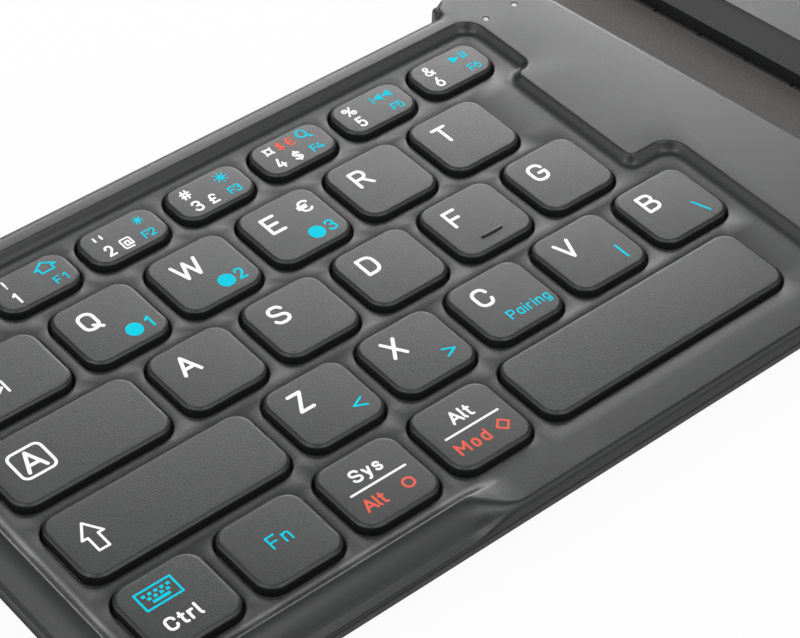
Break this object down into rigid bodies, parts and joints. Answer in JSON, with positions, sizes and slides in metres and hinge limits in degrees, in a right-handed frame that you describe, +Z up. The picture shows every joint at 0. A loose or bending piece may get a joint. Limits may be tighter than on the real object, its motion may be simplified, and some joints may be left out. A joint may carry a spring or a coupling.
{
  "type": "folding keyboard",
  "caption": "Pocket keyboard that folds like a book: two thin leaves with slanted key rows, hinged along both sides of a narrow grained spine, with low grey keys that travel.",
  "frame": {"origin": "on the table, at the bottom centre of the open keyboard, under the middle of the spine", "axes": "+Z up, +Y away from the typist along the hinges, +X to the right across the leaves"},
  "size_m": [0.3354, 0.1128, 0.0082],
  "materials": {
    "case": "fine-grained dark grey moulded plastic",
    "cap": "fine-grained grey moulded plastic with printed legends",
    "cover": "grained dark grey-brown band",
    "steel": "plain steel",
    "membrane": "translucent film",
    "dome": "soft rubber",
    "links": "white moulded plastic",
    "foot": "soft black rubber",
    "board": "circuit board",
    "light": "clear light pipe",
    "battery": "foil pouch",
    "flex": "amber film"
  },
  "bodies": {
    "left_leaf": {"left_base_cover": "case", "left_top_case": "case", "left_key_plate": "steel", "left_membrane": "membrane", "left_domes": "dome", "left_scissor_links": "links", "left_feet": "foot", "left_screws": "steel", "main_board": "board", "charging_port": "steel", "status_lights": "light"},
    "spine": {"spine_bar": "case", "spine_cover": "cover", "hinge_pins": "steel", "flex_cable": "flex"},
    "right_leaf": {"right_base_cover": "case", "right_top_case": "case", "right_key_plate": "steel", "right_membrane": "membrane", "right_domes": "dome", "right_scissor_links": "links", "right_feet": "foot", "right_screws": "steel", "battery": "battery"},
    "key_escape": {"key_escape": "cap"},
    "key_1": {"key_1": "cap"},
    "key_2": {"key_2": "cap"},
    "key_3": {"key_3": "cap"},
    "key_4": {"key_4": "cap"},
    "key_5": {"key_5": "cap"},
    "key_6": {"key_6": "cap"},
    "key_tab": {"key_tab": "cap"},
    "key_q": {"key_q": "cap"},
    "key_w": {"key_w": "cap"},
    "key_e": {"key_e": "cap"},
    "key_r": {"key_r": "cap"},
    "key_t": {"key_t": "cap"},
    "key_caps_lock": {"key_caps_lock": "cap"},
    "key_a": {"key_a": "cap"},
    "key_s": {"key_s": "cap"},
    "key_d": {"key_d": "cap"},
    "key_f": {"key_f": "cap"},
    "key_g": {"key_g": "cap"},
    "key_shift": {"key_shift": "cap"},
    "key_z": {"key_z": "cap"},
    "key_x": {"key_x": "cap"},
    "key_c": {"key_c": "cap"},
    "key_v": {"key_v": "cap"},
    "key_b": {"key_b": "cap"},
    "key_control": {"key_control": "cap"},
    "key_function": {"key_function": "cap"},
    "key_system": {"key_system": "cap"},
    "key_alt": {"key_alt": "cap"},
    "space_bar": {"space_bar": "cap"},
    "right_number_row": {"right_number_row": "cap"},
    "right_upper_row": {"right_upper_row": "cap"},
    "right_home_row": {"right_home_row": "cap"},
    "right_lower_row": {"right_lower_row": "cap"},
    "right_bottom_row": {"right_bottom_row": "cap"},
    "right_space_bar": {"right_space_bar": "cap"}
  },
  "joints": [
    {"name": "left_fold", "type": "hinge", "parent": "left_leaf", "child": "spine", "pos_m": [-0.0077, 0, 0.0013], "axis": [0, -1, 0], "range_deg": [0, 90]},
    {"name": "right_fold", "type": "hinge", "parent": "spine", "child": "right_leaf", "pos_m": [0.0077, 0, 0.0013], "axis": [0, -1, 0], "range_deg": [0, 90]},
    {"name": "key_escape_press", "type": "slide", "parent": "left_leaf", "child": "key_escape", "axis": [0, 0, 1], "range_m": [-0.0012, 0], "stiffness_N_per_m": 400, "springref_m": 0.0003, "deforming": ["left_domes", "left_scissor_links"]},
    {"name": "key_1_press", "type": "slide", "parent": "left_leaf", "child": "key_1", "axis": [0, 0, 1], "range_m": [-0.0012, 0], "stiffness_N_per_m": 400, "springref_m": 0.0003, "deforming": ["left_domes", "left_scissor_links"]},
    {"name": "key_2_press", "type": "slide", "parent": "left_leaf", "child": "key_2", "axis": [0, 0, 1], "range_m": [-0.0012, 0], "stiffness_N_per_m": 400, "springref_m": 0.0003, "deforming": ["left_domes", "left_scissor_links"]},
    {"name": "key_3_press", "type": "slide", "parent": "left_leaf", "child": "key_3", "axis": [0, 0, 1], "range_m": [-0.0012, 0], "stiffness_N_per_m": 400, "springref_m": 0.0003, "deforming": ["left_domes", "left_scissor_links"]},
    {"name": "key_4_press", "type": "slide", "parent": "left_leaf", "child": "key_4", "axis": [0, 0, 1], "range_m": [-0.0012, 0], "stiffness_N_per_m": 400, "springref_m": 0.0003, "deforming": ["left_domes", "left_scissor_links"]},
    {"name": "key_5_press", "type": "slide", "parent": "left_leaf", "child": "key_5", "axis": [0, 0, 1], "range_m": [-0.0012, 0], "stiffness_N_per_m": 400, "springref_m": 0.0003, "deforming": ["left_domes", "left_scissor_links"]},
    {"name": "key_6_press", "type": "slide", "parent": "left_leaf", "child": "key_6", "axis": [0, 0, 1], "range_m": [-0.0012, 0], "stiffness_N_per_m": 400, "springref_m": 0.0003, "deforming": ["left_domes", "left_scissor_links"]},
    {"name": "key_tab_press", "type": "slide", "parent": "left_leaf", "child": "key_tab", "axis": [0, 0, 1], "range_m": [-0.0012, 0], "stiffness_N_per_m": 400, "springref_m": 0.0003, "deforming": ["left_domes", "left_scissor_links"]},
    {"name": "key_q_press", "type": "slide", "parent": "left_leaf", "child": "key_q", "axis": [0, 0, 1], "range_m": [-0.0012, 0], "stiffness_N_per_m": 400, "springref_m": 0.0003, "deforming": ["left_domes", "left_scissor_links"]},
    {"name": "key_w_press", "type": "slide", "parent": "left_leaf", "child": "key_w", "axis": [0, 0, 1], "range_m": [-0.0012, 0], "stiffness_N_per_m": 400, "springref_m": 0.0003, "deforming": ["left_domes", "left_scissor_links"]},
    {"name": "key_e_press", "type": "slide", "parent": "left_leaf", "child": "key_e", "axis": [0, 0, 1], "range_m": [-0.0012, 0], "stiffness_N_per_m": 400, "springref_m": 0.0003, "deforming": ["left_domes", "left_scissor_links"]},
    {"name": "key_r_press", "type": "slide", "parent": "left_leaf", "child": "key_r", "axis": [0, 0, 1], "range_m": [-0.0012, 0], "stiffness_N_per_m": 400, "springref_m": 0.0003, "deforming": ["left_domes", "left_scissor_links"]},
    {"name": "key_t_press", "type": "slide", "parent": "left_leaf", "child": "key_t", "axis": [0, 0, 1], "range_m": [-0.0012, 0], "stiffness_N_per_m": 400, "springref_m": 0.0003, "deforming": ["left_domes", "left_scissor_links"]},
    {"name": "key_caps_lock_press", "type": "slide", "parent": "left_leaf", "child": "key_caps_lock", "axis": [0, 0, 1], "range_m": [-0.0012, 0], "stiffness_N_per_m": 400, "springref_m": 0.0003, "deforming": ["left_domes", "left_scissor_links"]},
    {"name": "key_a_press", "type": "slide", "parent": "left_leaf", "child": "key_a", "axis": [0, 0, 1], "range_m": [-0.0012, 0], "stiffness_N_per_m": 400, "springref_m": 0.0003, "deforming": ["left_domes", "left_scissor_links"]},
    {"name": "key_s_press", "type": "slide", "parent": "left_leaf", "child": "key_s", "axis": [0, 0, 1], "range_m": [-0.0012, 0], "stiffness_N_per_m": 400, "springref_m": 0.0003, "deforming": ["left_domes", "left_scissor_links"]},
    {"name": "key_d_press", "type": "slide", "parent": "left_leaf", "child": "key_d", "axis": [0, 0, 1], "range_m": [-0.0012, 0], "stiffness_N_per_m": 400, "springref_m": 0.0003, "deforming": ["left_domes", "left_scissor_links"]},
    {"name": "key_f_press", "type": "slide", "parent": "left_leaf", "child": "key_f", "axis": [0, 0, 1], "range_m": [-0.0012, 0], "stiffness_N_per_m": 400, "springref_m": 0.0003, "deforming": ["left_domes", "left_scissor_links"]},
    {"name": "key_g_press", "type": "slide", "parent": "left_leaf", "child": "key_g", "axis": [0, 0, 1], "range_m": [-0.0012, 0], "stiffness_N_per_m": 400, "springref_m": 0.0003, "deforming": ["left_domes", "left_scissor_links"]},
    {"name": "key_shift_press", "type": "slide", "parent": "left_leaf", "child": "key_shift", "axis": [0, 0, 1], "range_m": [-0.0012, 0], "stiffness_N_per_m": 400, "springref_m": 0.0003, "deforming": ["left_domes", "left_scissor_links"]},
    {"name": "key_z_press", "type": "slide", "parent": "left_leaf", "child": "key_z", "axis": [0, 0, 1], "range_m": [-0.0012, 0], "stiffness_N_per_m": 400, "springref_m": 0.0003, "deforming": ["left_domes", "left_scissor_links"]},
    {"name": "key_x_press", "type": "slide", "parent": "left_leaf", "child": "key_x", "axis": [0, 0, 1], "range_m": [-0.0012, 0], "stiffness_N_per_m": 400, "springref_m": 0.0003, "deforming": ["left_domes", "left_scissor_links"]},
    {"name": "key_c_press", "type": "slide", "parent": "left_leaf", "child": "key_c", "axis": [0, 0, 1], "range_m": [-0.0012, 0], "stiffness_N_per_m": 400, "springref_m": 0.0003, "deforming": ["left_domes", "left_scissor_links"]},
    {"name": "key_v_press", "type": "slide", "parent": "left_leaf", "child": "key_v", "axis": [0, 0, 1], "range_m": [-0.0012, 0], "stiffness_N_per_m": 400, "springref_m": 0.0003, "deforming": ["left_domes", "left_scissor_links"]},
    {"name": "key_b_press", "type": "slide", "parent": "left_leaf", "child": "key_b", "axis": [0, 0, 1], "range_m": [-0.0012, 0], "stiffness_N_per_m": 400, "springref_m": 0.0003, "deforming": ["left_domes", "left_scissor_links"]},
    {"name": "key_control_press", "type": "slide", "parent": "left_leaf", "child": "key_control", "axis": [0, 0, 1], "range_m": [-0.0012, 0], "stiffness_N_per_m": 400, "springref_m": 0.0003, "deforming": ["left_domes", "left_scissor_links"]},
    {"name": "key_function_press", "type": "slide", "parent": "left_leaf", "child": "key_function", "axis": [0, 0, 1], "range_m": [-0.0012, 0], "stiffness_N_per_m": 400, "springref_m": 0.0003, "deforming": ["left_domes", "left_scissor_links"]},
    {"name": "key_system_press", "type": "slide", "parent": "left_leaf", "child": "key_system", "axis": [0, 0, 1], "range_m": [-0.0012, 0], "stiffness_N_per_m": 400, "springref_m": 0.0003, "deforming": ["left_domes", "left_scissor_links"]},
    {"name": "key_alt_press", "type": "slide", "parent": "left_leaf", "child": "key_alt", "axis": [0, 0, 1], "range_m": [-0.0012, 0], "stiffness_N_per_m": 400, "springref_m": 0.0003, "deforming": ["left_domes", "left_scissor_links"]},
    {"name": "space_bar_press", "type": "slide", "parent": "left_leaf", "child": "space_bar", "axis": [0, 0, 1], "range_m": [-0.0012, 0], "stiffness_N_per_m": 400, "springref_m": 0.0003, "deforming": ["left_domes", "left_scissor_links"]},
    {"name": "right_number_row_press", "type": "slide", "parent": "right_leaf", "child": "right_number_row", "axis": [0, 0, 1], "range_m": [-0.0012, 0], "stiffness_N_per_m": 2800, "springref_m": 0.0003, "deforming": ["right_domes", "right_scissor_links"]},
    {"name": "right_upper_row_press", "type": "slide", "parent": "right_leaf", "child": "right_upper_row", "axis": [0, 0, 1], "range_m": [-0.0012, 0], "stiffness_N_per_m": 2800, "springref_m": 0.0003, "deforming": ["right_domes", "right_scissor_links"]},
    {"name": "right_home_row_press", "type": "slide", "parent": "right_leaf", "child": "right_home_row", "axis": [0, 0, 1], "range_m": [-0.0012, 0], "stiffness_N_per_m": 2800, "springref_m": 0.0003, "deforming": ["right_domes", "right_scissor_links"]},
    {"name": "right_lower_row_press", "type": "slide", "parent": "right_leaf", "child": "right_lower_row", "axis": [0, 0, 1], "range_m": [-0.0012, 0], "stiffness_N_per_m": 2400, "springref_m": 0.0003, "deforming": ["right_domes", "right_scissor_links"]},
    {"name": "right_bottom_row_press", "type": "slide", "parent": "right_leaf", "child": "right_bottom_row", "axis": [0, 0, 1], "range_m": [-0.0012, 0], "stiffness_N_per_m": 2000, "springref_m": 0.0003, "deforming": ["right_domes", "right_scissor_links"]},
    {"name": "right_space_bar_press", "type": "slide", "parent": "right_leaf", "child": "right_space_bar", "axis": [0, 0, 1], "range_m": [-0.0012, 0], "stiffness_N_per_m": 400, "springref_m": 0.0003, "deforming": ["right_domes", "right_scissor_links"]}
  ]
}
